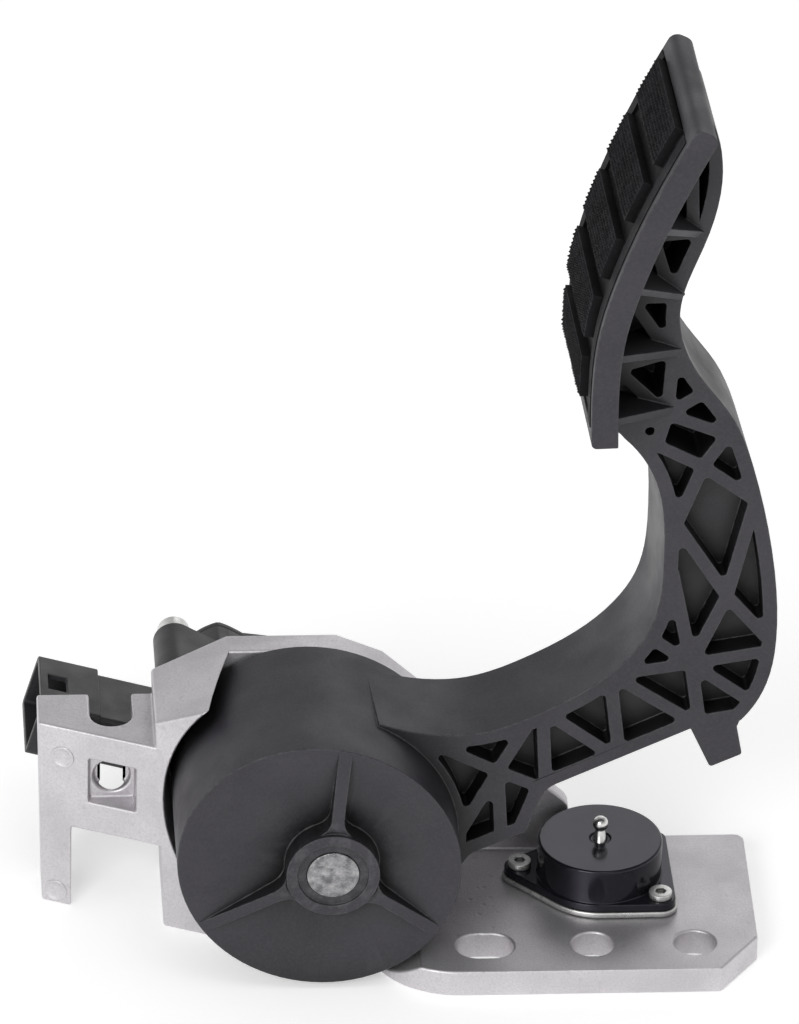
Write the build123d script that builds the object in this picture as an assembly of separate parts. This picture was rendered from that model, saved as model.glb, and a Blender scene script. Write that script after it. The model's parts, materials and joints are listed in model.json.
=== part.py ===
"""Floor-mounted accelerator pedal of a heavy vehicle: cast bracket, moulded pedal with
spring drum, pedal sensor and kickdown unit. Millimetres. X runs right, Y runs away from the
pedal side, Z up. The origin is on the base underside, below the pivot, at the wall's front."""

import os
from math import atan2, cos, degrees, hypot, radians, sin, sqrt, tan

from build123d import *

# Cast bracket
base_thickness = 8.6
base_front = -62.0
base_back = 10.2
base_right = 128.0
base_left = 11.5
base_front_corner = (12.0, 16.5)
base_left_radius = 27.0
base_back_radius = 3.0
wall_thickness = 9.0
wall_left = -51.5
wall_foot_left = -48.3
wall_relief_depth = 3.5
wall_relief_start = 42.0
wall_top = [(-51.5, 71.5), (-44.7, 75.0), (-29.0, 83.0), (3.5, 83.0), (17.6, 76.9), (70.5, 28.2)]
wall_right = 74.3
wall_corner_radius = 5.0
face_yaw = 23.0
face_offset = -42.83
block_reach = 40.0
recess_center = (0.9, 45.7)
recess_radius = 50.0
recess_back_radius = 47.6
dish_radius = 42.0
ear_left = -85.6
ear_foot_left = -84.2
ear_top = 63.0
ear_bottom = 28.2
leg_width = 8.6
notch_x = -63.7
notch_width = 12.6
notch_floor = -8.7
pocket_width = 13.8
pocket_height = 15.2
pocket_z = 46.2
pocket_web = 3.5
ear_hole_diameter = 11.0
base_hole_diameter = 12.5
base_hole_x = 78.4
base_hole_spacing = 30.4
base_hole_y = -48.0
base_slot_x = 46.3
base_slot_length = 17.0
bearing_boss_radius = 13.2
bearing_boss_end = -29.0
edge_round = 0.8

# Pivot
pivot_height = 41.2
shaft_diameter = 15.6
shaft_front = -58.2
shaft_rear = 18.0
running_clearance = 0.05
bush_wall = 2.0
bush_length = 12.0
thrust_washer_thickness = 1.0
thrust_washer_radius = 12.6
circlip_width = 1.2
circlip_radius = 11.0
circlip_groove_depth = 0.8

# Drum of the pedal
drum_front = -57.0
drum_rear = -1.0
drum_center = (-4.0, 43.7)
drum_long_radius = 42.9
drum_short_radius = 40.6
drum_turn = 143.0
drum_cavity_radius = 33.5
drum_cavity_floor = -46.0
hub_radius = 13.9
hub_proud = 1.5
hub_rear = -30.1
hub_ring_radius = 10.5
hub_ring_depth = 0.8
drum_rib_width = 3.9
drum_rib_angles = (86.0, 206.0, 326.0)
drum_rib_fillet = 6.0
drum_dish_depth = 6.5
drum_rim_band = 0.7

# Stop in the drum's thick side
stop_radius = 38.6
stop_pin_diameter = 3.0
stop_sleeve_wall = 0.8
stop_clearance = 0.3
stop_groove_depth = 9.0
stop_pin_reach = 8.0
stop_pin_angle = 180.0

# Pedal arm
pedal_travel = 25.0
arm_front = -38.0
arm_thickness = 31.0
arm_lean = 0.08
arm_inner_edge = [
    (14.0, 81.2), (26.5, 77.7), (44.0, 77.5), (61.6, 84.2), (79.0, 95.2),
    (93.3, 113.5), (96.5, 138.0), (94.0, 162.0), (80.0, 182.0),
]
arm_outer_edge = [
    (104.3, 287.0), (109.3, 263.5), (105.0, 244.0), (98.6, 221.5), (104.0, 201.6),
    (114.6, 186.3), (122.3, 166.5), (128.6, 137.0), (130.6, 112.0), (127.9, 92.5), (121.0, 80.6),
]
arm_lower_edge = [
    (121.0, 80.6), (106.0, 77.8), (63.5, 57.4), (58.4, 42.2), (41.8, 34.8), (33.0, 20.0),
]
arm_lower_fillets = (1.0, 9.0, 2.5, 7.0)
arm_foot = [(121.0, 81.5), (119.9, 78.3), (121.7, 68.7), (112.3, 64.3), (105.0, 80.6), (110.0, 84.0)]
arm_foot_corner = 1.0

# Lattice of the arm: rib meeting points and the ribs between them
lattice_rim = 4.3
lattice_rib = 4.1
lattice_corner = 1.1
lattice_depth = 7.0
lattice_deep = 14.0
lattice_deep_from = 178.0
lattice_web = 4.0
lattice_smallest = 7.0
lattice_drum_wall = 2.6
lattice_pad_wall = 2.2
crossing_a = (49.4, 63.8)
crossing_b = (105.6, 100.8)
crossing_c = (115.4, 124.2)
crossing_d = (106.9, 169.0)
crossing_e = (95.8, 187.0)
lattice_stars = {
    crossing_a: [(29.0, 74.2), (58.9, 82.0), (63.5, 57.4), (51.2, 37.0), (35.8, 36.8)],
    crossing_b: [
        (109.0, 78.0), (81.5, 97.0), (90.5, 112.0), (125.5, 85.8), (133.0, 105.6),
        (99.0, 133.0), crossing_c,
    ],
    crossing_c: [(97.0, 153.5), (131.8, 104.4), (124.7, 166.0)],
    crossing_d: [(124.6, 155.6), (98.0, 144.5), (86.5, 180.0), (116.8, 184.6)],
    crossing_e: [(119.0, 177.6), (92.5, 174.0), (111.5, 197.6), (97.4, 213.0), (78.0, 204.4), (78.0, 179.4)],
}
lattice_braces = [
    ((62.2, 85.0), (63.9, 55.8)), ((62.2, 85.0), (86.0, 66.8)), ((85.6, 66.6), (81.6, 98.6)),
    ((81.6, 97.6), (109.0, 78.8)), ((98.5, 208.8), (78.0, 202.4)), ((97.4, 206.0), (81.6, 229.0)),
    ((81.6, 226.4), (102.0, 227.0)), ((96.2, 226.0), (89.6, 246.0)), ((89.6, 247.2), (108.0, 248.9)),
    ((101.4, 248.8), (99.6, 277.0)),
]

# Pad plate on the arm's end
pad_curve = [(71.3, 186.0), (71.0, 201.0), (72.4, 222.5), (77.6, 243.0), (87.7, 269.5), (98.5, 292.2)]
pad_thickness = 7.8
pad_front = -55.0
pad_rear = 2.0
pad_corner = 5.0
pad_lip = 0.5
fin_thickness = 2.6
fin_near = 2.0
fin_lines = [
    ((90.6, 257.5), (103.4, 247.5)), ((84.4, 237.6), (98.4, 226.6)),
    ((79.6, 214.8), (98.6, 208.0)), ((78.8, 193.6), (97.0, 188.4)),
]

# Rubber tread in the pad's recess
tread_depth = 2.0
tread_seat_gap = 0.1
tread_clearance = 0.15
tread_sheet = 1.2
tread_border_near = 6.8
tread_border_far = 5.2
tread_border_bottom = 5.5
tread_border_top = 9.4
tread_block_length = 13.6
tread_block_pitch = 19.9
tread_block_count = 5
tread_block_first = 98.0
tread_block_proud = 2.3
tread_block_near_margin = 3.6
tread_block_far_margin = 2.6

# Return springs
spring_end_gap = 0.3
outer_spring_wire = 4.0
outer_spring_radius = 28.6
outer_spring_turns = 5
inner_spring_wire = 3.2
inner_spring_radius = 19.4
inner_spring_turns = 6

# Pedal sensor
sensor_rear = 42.0
sensor_flange_rear = 30.0
sensor_round = (0.0, 24.0)
sensor_lobe = (-24.5, 47.7, 20.0)
sensor_bosses = [(-43.7, 68.0), (18.5, 15.6), (-30.0, 16.0)]
sensor_boss_radius = 6.3
sensor_cavity_radius = 17.0
sensor_cover_thickness = 2.4
seal_radius = 20.5
seal_section = 2.0
rotor_radius = 13.0
rotor_length = 12.0
rotor_start = 11.2
magnet_diameter = 10.0
magnet_thickness = 3.0
board_thickness = 1.6
board_gap = 4.0
screw_thread_diameter = 5.0
screw_thread_depth = 7.0
sensor_screw_head = (9.6, 6.0)

# Connector shroud of the sensor
connector_pitch = 16.0
connector_mouth = (-86.4, 48.4)
connector_height = 18.4
connector_front = 12.0
connector_back = 40.5
connector_wall = 1.8
connector_shroud_length = 18.5
connector_depth = 15.0
connector_neck_inset = 1.2
connector_neck_end = 52.0
connector_corner = 2.0
latch_window = (6.0, 8.0)
pin_count = 6
pin_pitch = 4.0
pin_size = 0.8
pin_exposed = 8.0

# Kickdown unit
kick_center = (82.5, -15.0)
kick_plate_thickness = 2.0
kick_flange_thickness = 2.5
kick_cap_radius = 18.7
kick_cap_height = 11.4
kick_cap_edge = 0.8
kick_wall = 2.2
kick_screw_spots = [(58.8, -11.9), (99.8, -29.8)]
kick_lobe_radius = 5.2
kick_plate_margin = 0.6
kick_right_edge = 104.5
kick_back_edge = 6.0
kick_screw_diameter = 4.0
kick_screw_head = (7.0, 3.6)
kick_screw_hex = 3.0
kick_screw_grip = 6.0
plunger_diameter = 2.6
plunger_head_diameter = 4.6
plunger_proud = 8.6
plunger_travel = 3.4
plunger_collar = (9.0, 1.6)
guide_diameter = 6.4
guide_length = 4.4
kick_spring_wire = 0.9
kick_spring_radius = 3.2
kick_spring_turns = 4

pivot = (0.0, pivot_height)
shaft_radius = shaft_diameter / 2
bush_radius = shaft_radius + running_clearance + bush_wall
kick_top = base_thickness + kick_plate_thickness + kick_flange_thickness + kick_cap_height


def side_plane(y):
    """Upright drawing plane across Y at y, with sketch x along X and sketch y along Z."""
    return Plane(origin=(0, y, 0), x_dir=(1, 0, 0), z_dir=(0, -1, 0))


def slab(sketch, y_near, y_far):
    """Solid between two Y values with the sketch as its outline."""
    return extrude(side_plane(y_far) * sketch, amount=y_far - y_near)


def leaning_slab(sketch, y_near, y_far):
    """Slab whose outline shifts left with depth, as the arm and pad are turned to the driver."""
    start = Pos(-arm_lean * (y_near - arm_front), 0, 0) * (side_plane(y_near) * sketch)
    depth = y_far - y_near
    return extrude(start, amount=depth * hypot(1, arm_lean), dir=Vector(-arm_lean, 1, 0).normalized())


def disc(center, radius):
    """Filled circle on a sketch."""
    return Pos(*center) * Circle(radius)


def bar(start, end, width):
    """Filled strip of a width between two sketch points."""
    run = hypot(end[0] - start[0], end[1] - start[1])
    turn = degrees(atan2(end[1] - start[1], end[0] - start[0]))
    middle = ((start[0] + end[0]) / 2, (start[1] + end[1]) / 2)
    return Pos(*middle) * Rot(0, 0, turn) * Rectangle(run, width)


def tube(center, outer, inner, y_near, y_far):
    """Ring-shaped solid about a Y axis."""
    return slab(disc(center, outer) - disc(center, inner), y_near, y_far)


def rod(center, radius, y_near, y_far):
    """Cylinder about a Y axis."""
    return slab(disc(center, radius), y_near, y_far)


def post(x, y, radius, z_low, z_high):
    """Upright cylinder."""
    return Pos(x, y, z_low) * extrude(Circle(radius), amount=z_high - z_low)


def face_depth(x):
    """Y of the bracket's slanted front face at x."""
    return face_offset - tan(radians(face_yaw)) * x


def behind_face():
    """Everything behind the slanted front face of the ear, leg and block."""
    far_left, far_right = ear_left - 20, 30
    outline = [(far_left, face_depth(far_left)), (far_right, face_depth(far_right))]
    outline += [(far_right, wall_thickness), (far_left, wall_thickness)]
    return extrude(make_face(Polyline(*outline, close=True)), amount=wall_top[2][1] + 5)


def drum_outline(grow=0.0):
    """Outline of the drum, slightly longer one way."""
    return Pos(*drum_center) * Ellipse(drum_long_radius + grow, drum_short_radius + grow, rotation=drum_turn)


# Bracket
def wall_outline():
    """Upright wall as seen from the pedal side."""
    right_top = wall_top[-1]
    corner = (wall_right, right_top[1] - (wall_right - right_top[0]) * 0.9)
    points = [(wall_foot_left, 0), *wall_top, corner, (wall_right, 0)]
    sketch = make_face(Polyline(*points, close=True))
    rounded = [v for v in sketch.vertices() if abs(v.X - corner[0]) < 0.01 and v.Y > base_thickness]
    return fillet(rounded, wall_corner_radius)


def ear_outline():
    """Ear and its leg beside the block."""
    points = [
        (ear_foot_left, 0), (ear_foot_left + leg_width, 0), (ear_foot_left + leg_width, ear_bottom),
        (wall_left + 2, ear_bottom), (wall_left + 2, ear_top), (ear_left, ear_top),
    ]
    return make_face(Polyline(*points, close=True))


def base_outline():
    """Base plate in plan."""
    run, rise = base_front_corner
    points = [
        (base_left, base_front), (base_right - run, base_front), (base_right, base_front + rise),
        (base_right, base_back), (base_left, base_back),
    ]
    sketch = make_face(Polyline(*points, close=True))
    near_left = [v for v in sketch.vertices() if v.X < base_left + 1 and v.Y < 0]
    sketch = fillet(near_left, base_left_radius)
    back_right = [v for v in sketch.vertices() if v.X > base_right - 1 and v.Y > 0]
    return fillet(back_right, base_back_radius)


def recess():
    """Tapered bore in which the drum turns, open to the front."""
    near = side_plane(face_depth(recess_center[0] - recess_radius) - block_reach)
    growth = (recess_radius - recess_back_radius) / abs(face_depth(-34.0))
    depth = abs(near.origin.Y)
    front_radius = recess_back_radius + growth * depth
    profile = Plane.XY * make_face(
        Polyline((0, 0), (0, -depth), (front_radius, -depth), (recess_back_radius, 0), close=True)
    )
    return Pos(recess_center[0], 0, recess_center[1]) * revolve(profile, axis=Axis.Y)


def bracket():
    """One casting: base plate, wall, block beside the drum, ear, leg and bearing boss."""
    front_stock = Pos(0, 0) * (wall_outline() & (Pos(-40, 50) * Rectangle(70, 120)))
    body = slab(front_stock, -block_reach, wall_thickness) & behind_face()
    body -= recess()
    body += slab(wall_outline(), 0, wall_thickness)
    body += slab(ear_outline(), -block_reach, wall_thickness) & behind_face()
    plate = extrude(base_outline(), amount=base_thickness)
    plate -= rod(pivot, dish_radius, base_front - 1, 0)
    body += plate
    relief_x = (wall_relief_start + base_right) / 2
    relief = Pos(relief_x, wall_relief_depth / 2 - 1, base_thickness) * Box(
        base_right - wall_relief_start, wall_relief_depth + 2, 60, align=(Align.CENTER, Align.CENTER, Align.MIN)
    )
    body -= relief
    body += rod(pivot, bearing_boss_radius, bearing_boss_end, 0)
    body -= rod(pivot, bush_radius, bearing_boss_end, wall_thickness)
    notch_depth = wall_thickness - notch_floor
    notch = Pos(notch_x, wall_thickness) * SlotOverall(2 * notch_depth, notch_width, rotation=90)
    body -= Pos(0, 0, ear_bottom - 5) * extrude(notch, amount=ear_top - ear_bottom + 10)
    pocket = Pos(notch_x, pocket_z) * RectangleRounded(pocket_width, pocket_height, 0.6)
    body -= slab(pocket, -block_reach, notch_floor - pocket_web)
    body -= rod((notch_x, pocket_z), ear_hole_diameter / 2, -block_reach, notch_floor + 1)
    body -= base_openings()
    for x, z in sensor_bosses:
        body -= rod((x, z), screw_thread_diameter / 2, wall_thickness - screw_thread_depth, wall_thickness)
    for x, y in kick_screw_spots:
        body -= post(x, y, kick_screw_diameter / 2, base_thickness - kick_screw_grip, base_thickness)
    x, z = stop_point()
    body -= rod((x, z), stop_pin_diameter / 2, 0, wall_thickness - 2)
    return body


def base_openings():
    """Two round bolt holes and the long slot through the base plate."""
    sketch = Pos(base_slot_x, base_hole_y) * SlotOverall(base_slot_length, base_hole_diameter)
    for index in range(2):
        sketch += Pos(base_hole_x + index * base_hole_spacing, base_hole_y) * Circle(base_hole_diameter / 2)
    return Pos(0, 0, -1) * extrude(sketch, amount=base_thickness + 2)


def stop_point():
    """Place of the stop pin on the wall."""
    turn = radians(stop_pin_angle)
    return (pivot[0] + stop_radius * cos(turn), pivot[1] + stop_radius * sin(turn))


# Pedal
def arm_outline():
    """Side view of the arm, from inside the drum to inside the pad plate."""
    inner = Spline(*arm_inner_edge)
    outer = Spline(*arm_outer_edge)
    lower = FilletPolyline(*arm_lower_edge, radius=list(arm_lower_fillets))
    middle = [beside(pad_spline(), share, -pad_thickness / 2) for share in (0.02, 0.35, 0.65, 0.985)]
    top = Polyline(arm_inner_edge[-1], *middle, arm_outer_edge[0])
    root = Polyline(arm_lower_edge[-1], (0.0, pivot_height), arm_inner_edge[0])
    return make_face(inner.edges() + top.edges() + outer.edges() + lower.edges() + root.edges())


def pad_spline():
    """Front line of the pad, from heel end to toe end."""
    return Spline(*pad_curve)


def beside(line, share, height):
    """Point at a share of a line's length, moved to the line's left by height."""
    spot = line @ share
    along = line % share
    return (spot.X - along.Y * height, spot.Y + along.X * height)


def band(line, start, end, low, high, steps):
    """Strip along a line between two shares of its length and two heights beside it."""
    shares = [start + (end - start) * i / (steps - 1) for i in range(steps)]
    below = Spline(*[beside(line, share, low) for share in shares])
    above = Spline(*[beside(line, share, high) for share in reversed(shares)])
    first = Line(below @ 1, above @ 0)
    last = Line(above @ 1, below @ 0)
    return make_face(below.edges() + first.edges() + above.edges() + last.edges())


def pad_band(start, end, low, high):
    """Layer along the pad's front line: start and end are lengths along it."""
    line = pad_spline()
    return band(line, start / line.length, end / line.length, low, high, 7)


def is_clear_corner(vertex, edges):
    """Whether two long edges meet at the vertex at a clear angle."""
    sides = [e for e in edges if e.length > 3 * lattice_corner and e.distance_to(vertex) < 0.001]
    if len(sides) != 2:
        return False
    spot = Vector(*vertex)
    bend = sides[0].tangent_at(spot).get_angle(sides[1].tangent_at(spot))
    return 20 < bend < 160


def rounded_pocket(face):
    """Pocket outline with its clear corners rounded."""
    corners = [v for v in face.vertices() if is_clear_corner(v, face.edges())]
    return face.fillet_2d(lattice_corner, corners)


def lattice_pockets():
    """Pocket outlines left between the rim, the ribs, the drum and the pad."""
    field = arm_outline() - drum_outline(lattice_drum_wall)
    for edge in (Spline(*arm_inner_edge), Spline(*arm_outer_edge)):
        field -= band(edge, 0, 1, -lattice_rim, lattice_rim, 25)
    for start, end in zip(arm_lower_edge, arm_lower_edge[1:]):
        field -= bar(start, end, 2 * lattice_rim) + disc(end, lattice_rim)
    field -= pad_band(-8, pad_spline().length + 8, -pad_thickness - lattice_pad_wall, 6)
    for crossing, ends in lattice_stars.items():
        for end in ends:
            field -= bar(crossing, end, lattice_rib)
    for start, end in lattice_braces:
        field -= bar(start, end, lattice_rib)
    return [rounded_pocket(face) for face in field.faces() if face.area > lattice_smallest]


def drum_front_relief():
    """Three dished sectors between the ribs of the drum's front."""
    rim = side_plane(drum_front) * drum_outline(-drum_rim_band)
    floor = side_plane(drum_front + drum_dish_depth) * disc(pivot, hub_radius + 0.6)
    dish = loft([rim.faces()[0], floor.faces()[0]])
    spokes = disc(pivot, hub_radius)
    for angle in drum_rib_angles:
        reach = drum_long_radius + 8
        tip = (pivot[0] + reach * cos(radians(angle)), pivot[1] + reach * sin(radians(angle)))
        spokes += bar(pivot, tip, drum_rib_width)
    inner = [v for v in spokes.vertices() if hypot(v.X - pivot[0], v.Y - pivot[1]) < hub_radius + 1]
    spokes = fillet(inner, drum_rib_fillet)
    return dish - slab(spokes, drum_front - 5, drum_front + drum_dish_depth + 1)


def stop_groove():
    """Arc groove in the drum's rear face that the stop sleeve runs in."""
    half = stop_pin_diameter / 2 + stop_sleeve_wall + stop_clearance
    ring = disc(pivot, stop_radius + half) - disc(pivot, stop_radius - half)
    spare = degrees(stop_clearance / stop_radius)
    first = stop_pin_angle - spare
    last = stop_pin_angle + pedal_travel + spare
    reach = stop_radius + 20
    corners = [first, (first + last) / 2, last]
    wedge = [(pivot[0] + reach * cos(radians(a)), pivot[1] + reach * sin(radians(a))) for a in corners]
    sketch = ring & make_face(Polyline(pivot, *wedge, close=True))
    for angle in (first, last):
        spot = (pivot[0] + stop_radius * cos(radians(angle)), pivot[1] + stop_radius * sin(radians(angle)))
        sketch += disc(spot, half)
    return slab(sketch, drum_rear - stop_groove_depth, drum_rear + 1)


def pad_plate():
    """Curved pad plate with rounded corners and a recess for the tread."""
    length = pad_spline().length
    plate = leaning_slab(pad_band(-1.0, length + 3.5, -pad_thickness, 0), pad_front, pad_rear)
    return plate


def fins():
    """Gussets from the pad's overhang to the arm's near face."""
    solids = []
    for start, end in fin_lines:
        run = hypot(end[0] - start[0], end[1] - start[1])
        turn = degrees(atan2(end[1] - start[1], end[0] - start[0]))
        near = pad_front + fin_near
        side = make_face(Polyline((-3, near), (0, near), (run, arm_front), (run, arm_front + 2), (-3, arm_front + 2), close=True))
        fin = extrude(side, amount=fin_thickness / 2, both=True)
        solids.append(Pos(start[0] + arm_lean * 8, 0, start[1]) * Rot(0, -turn, 0) * fin)
    return solids


def pedal_arm():
    """One moulding: spring drum, latticed arm, heel foot and pad plate."""
    arm_back = arm_front + arm_thickness
    foot = FilletPolyline(*arm_foot, radius=arm_foot_corner, close=True)
    body = leaning_slab(arm_outline() + make_face(foot), arm_front, arm_back)
    cuts = []
    for pocket in lattice_pockets():
        deep = pocket.center().Y > lattice_deep_from
        depth = lattice_deep if deep else lattice_depth
        cuts.append(leaning_slab(pocket, arm_front - 1, arm_front + depth))
        cuts.append(leaning_slab(pocket, arm_front + depth + lattice_web, arm_back + 1))
    body -= cuts
    body += [pad_plate(), *fins()]
    length = pad_spline().length
    recess_band = pad_band(tread_border_bottom, length + 3.5 - tread_border_top, -tread_depth, 3)
    body -= leaning_slab(recess_band, pad_front + tread_border_near, pad_rear - tread_border_far)
    drum = slab(drum_outline(), drum_front, drum_rear)
    body += drum
    body -= drum_front_relief()
    body += rod(pivot, hub_radius, drum_front - hub_proud, drum_front + 1)
    body -= rod(pivot, drum_cavity_radius, drum_cavity_floor, drum_rear + 1)
    body += rod(pivot, hub_radius, drum_cavity_floor - 1, hub_rear)
    face_y = drum_front - hub_proud
    body -= rod(pivot, hub_ring_radius, face_y, face_y + hub_ring_depth)
    body -= rod(pivot, shaft_radius, face_y, hub_rear)
    body -= stop_groove()
    return body


def rubber_tread():
    """Tread moulding: a sheet in the pad's recess with five raised blocks."""
    length = pad_spline().length
    low = -tread_depth + tread_seat_gap
    start = tread_border_bottom + tread_clearance
    end = length + 3.5 - tread_border_top - tread_clearance
    near = pad_front + tread_border_near + tread_clearance
    far = pad_rear - tread_border_far - tread_clearance
    body = leaning_slab(pad_band(start, end, low, low + tread_sheet), near, far)
    for index in range(tread_block_count):
        middle = tread_block_first - index * tread_block_pitch
        band = pad_band(
            middle - tread_block_length / 2, middle + tread_block_length / 2, low + tread_sheet / 2, tread_block_proud
        )
        body += leaning_slab(band, near + tread_block_near_margin, far - tread_block_far_margin)
    return body


# Pivot pieces
def pivot_shaft():
    """Ground shaft, pressed into the drum's hub, with a circlip groove and a flatted end."""
    body = rod(pivot, shaft_radius, shaft_front, shaft_rear)
    groove_near = wall_thickness + 0.4
    body -= tube(pivot, shaft_radius + 1, shaft_radius - circlip_groove_depth, groove_near, groove_near + circlip_width)
    flats = slab(Pos(*pivot) * (Circle(shaft_radius + 1) - Rectangle(9.0, 2 * shaft_radius)), rotor_start, shaft_rear)
    return body - flats


def bush(y_near):
    """Plain bearing bush pressed into the bracket."""
    return tube(pivot, bush_radius, shaft_radius + running_clearance, y_near, y_near + bush_length)


def thrust_washer():
    """Washer between the hub and the bearing boss."""
    y_near = bearing_boss_end - thrust_washer_thickness
    return tube(pivot, thrust_washer_radius, shaft_radius + 2 * running_clearance, y_near, bearing_boss_end)


def circlip():
    """Retaining ring behind the wall, with its gap and ears."""
    near = wall_thickness + 0.4
    ring = disc(pivot, circlip_radius - 1.2) - disc(pivot, shaft_radius - circlip_groove_depth)
    gap_x = pivot[0]
    for side in (-1, 1):
        ring += disc((gap_x + side * 3.2, pivot_height - shaft_radius - 1.4), 1.9)
    ring -= Pos(gap_x, pivot_height - shaft_radius) * Rectangle(3.0, 9.0)
    ring -= disc(pivot, shaft_radius - circlip_groove_depth)
    return slab(ring, near + 0.05, near + circlip_width - 0.05)


def torsion_spring(radius, wire, turns):
    """Round-wire return spring in the drum, between its floor and the wall."""
    height = -drum_cavity_floor - 2 * spring_end_gap - wire
    path = Helix(pitch=height / turns, height=height, radius=radius)
    section = Plane(origin=path @ 0, z_dir=path % 0) * Circle(wire / 2)
    coil = sweep(section, path=path, is_frenet=True)
    return Pos(pivot[0], -spring_end_gap - wire / 2, pivot_height) * Rot(90, 0, 0) * coil


def stop_pin():
    """Steel pin in the wall that reaches into the drum's groove."""
    return rod(stop_point(), stop_pin_diameter / 2, drum_rear - stop_pin_reach, wall_thickness - 2)


def stop_sleeve():
    """Rubber sleeve on the stop pin."""
    inner = stop_pin_diameter / 2
    return tube(stop_point(), inner + stop_sleeve_wall, inner, drum_rear - stop_pin_reach + 0.3, -0.1)


# Sensor
def sensor_body_outline(shrink=0.0):
    """Round chamber about the pivot with a lobe to the connector's side."""
    circles = disc(pivot, sensor_round[1] - shrink).edges()
    circles += disc(sensor_lobe[:2], sensor_lobe[2] - shrink).edges()
    return make_hull(circles)


def connector_frame():
    """Axes of the connector: local x runs from the mouth into the sensor, local z is its own up."""
    turn = radians(connector_pitch)
    return Plane(origin=(connector_mouth[0], 0, connector_mouth[1]), x_dir=(cos(turn), 0, -sin(turn)), z_dir=(sin(turn), 0, cos(turn)))


def connector_box(start, end, inset, corner=0.0):
    """Block along the connector's axis, inset from its outer size."""
    middle_y = (connector_front + connector_back) / 2
    width = connector_back - connector_front - 2 * inset
    height = connector_height - 2 * inset
    section = Rectangle(width, height) if corner == 0 else RectangleRounded(width, height, corner)
    upright = Plane(origin=(start, middle_y, 0), x_dir=(0, 1, 0), z_dir=(1, 0, 0))
    return connector_frame() * extrude(upright * section, amount=end - start)


def sensor_housing():
    """Moulded housing with screw bosses and the connector shroud."""
    cover_near = sensor_rear - sensor_cover_thickness
    body = slab(sensor_body_outline(), wall_thickness, cover_near)
    for spot in sensor_bosses:
        arms = make_hull(disc(spot, sensor_boss_radius).edges() + disc((pivot[0] - 12, pivot[1] + 4), 12).edges())
        body += slab(arms, wall_thickness, sensor_flange_rear)
    body += connector_box(0, connector_shroud_length, 0, connector_corner)
    body += connector_box(connector_shroud_length - 1, connector_neck_end, connector_neck_inset, connector_corner)
    body -= connector_box(-1, connector_depth, connector_wall, connector_corner - 1)
    middle_y = (connector_front + connector_back) / 2
    window = Pos(5.5, middle_y, connector_height / 2) * Box(latch_window[0], latch_window[1], 2 * connector_wall + 1)
    body -= connector_frame() * window
    body -= rod(pivot, sensor_cavity_radius, wall_thickness, cover_near + 1)
    body -= tube(pivot, seal_radius + seal_section / 2, seal_radius - seal_section / 2, wall_thickness, wall_thickness + seal_section)
    for spot in sensor_bosses:
        body -= rod(spot, screw_thread_diameter / 2 + 0.25, wall_thickness, sensor_flange_rear + 1)
    for pin in pin_places():
        body -= pin_bar(pin, connector_depth - 1, connector_depth + 9)
    return body


def sensor_cover():
    """Rear cover of the sensor chamber."""
    near = sensor_rear - sensor_cover_thickness
    body = slab(sensor_body_outline(), near, sensor_rear)
    return body


def sensor_seal():
    """O-ring in the housing's front groove."""
    ring = Torus(seal_radius, seal_section / 2)
    return Pos(pivot[0], wall_thickness + seal_section / 2, pivot_height) * Rot(90, 0, 0) * ring


def sensor_rotor():
    """Magnet carrier on the flatted end of the shaft."""
    end = rotor_start + rotor_length
    body = rod(pivot, rotor_radius, rotor_start, end)
    socket = Circle(shaft_radius) & Rectangle(9.0, 2 * shaft_radius)
    body -= slab(Pos(*pivot) * socket, rotor_start, shaft_rear)
    body -= rod(pivot, magnet_diameter / 2, end - magnet_thickness, end)
    return body


def rotor_magnet():
    """Disc magnet in the rotor's face."""
    end = rotor_start + rotor_length
    return rod(pivot, magnet_diameter / 2, end - magnet_thickness, end)


def sensor_board():
    """Round circuit board on the cover, facing the magnet."""
    near = sensor_rear - sensor_cover_thickness - board_gap
    board = rod(pivot, sensor_cavity_radius - 0.2, near, near + board_thickness)
    for angle in (45, 135, 225, 315):
        spot = (13 * cos(radians(angle)), pivot_height + 13 * sin(radians(angle)))
        board += rod(spot, 1.6, near + board_thickness, sensor_rear - sensor_cover_thickness)
    return board


def pin_places():
    """Local Y of each contact pin in the shroud."""
    middle_y = (connector_front + connector_back) / 2
    return [middle_y + (index - (pin_count - 1) / 2) * pin_pitch for index in range(pin_count)]


def pin_bar(y, start, end):
    """One square contact pin along the connector's axis."""
    middle = (start + end) / 2
    return connector_frame() * (Pos(middle, y, 0) * Box(end - start, pin_size, pin_size))


def connector_pins():
    """Row of contact pins in the connector."""
    tip = connector_depth - pin_exposed
    return Compound(children=[pin_bar(y, tip, connector_depth + 9) for y in pin_places()])


def sensor_screws():
    """Screws that hold the sensor to the wall from behind."""
    screws = []
    for spot in sensor_bosses:
        shank = rod(spot, screw_thread_diameter / 2, wall_thickness - screw_thread_depth, sensor_flange_rear)
        head = rod(spot, sensor_screw_head[0] / 2, sensor_flange_rear, sensor_flange_rear + sensor_screw_head[1])
        socket = slab(Pos(*spot) * RegularPolygon(2.5, 6), sensor_flange_rear + 3.4, sensor_flange_rear + sensor_screw_head[1])
        screws.append(shank + head - socket)
    return Compound(children=screws)


# Kickdown unit
def kick_outline(shrink=0.0):
    """Flange outline: a lobe at each screw, straight right edge and a round middle."""
    circles = disc(kick_center, kick_cap_radius + 1.4 - shrink).edges()
    for spot in kick_screw_spots:
        circles += disc(spot, kick_lobe_radius - shrink).edges()
    corner = (kick_right_edge - 4.0, kick_back_edge - 4.0)
    circles += disc(corner, 4.0 - shrink).edges()
    return make_hull(circles)


def kick_plate():
    """Plated steel base plate under the kickdown housing."""
    body = Pos(0, 0, base_thickness) * extrude(kick_outline(), amount=kick_plate_thickness)
    for x, y in kick_screw_spots:
        body -= post(x, y, kick_screw_diameter / 2 + 0.2, base_thickness, base_thickness + kick_plate_thickness)
    return body


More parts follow.
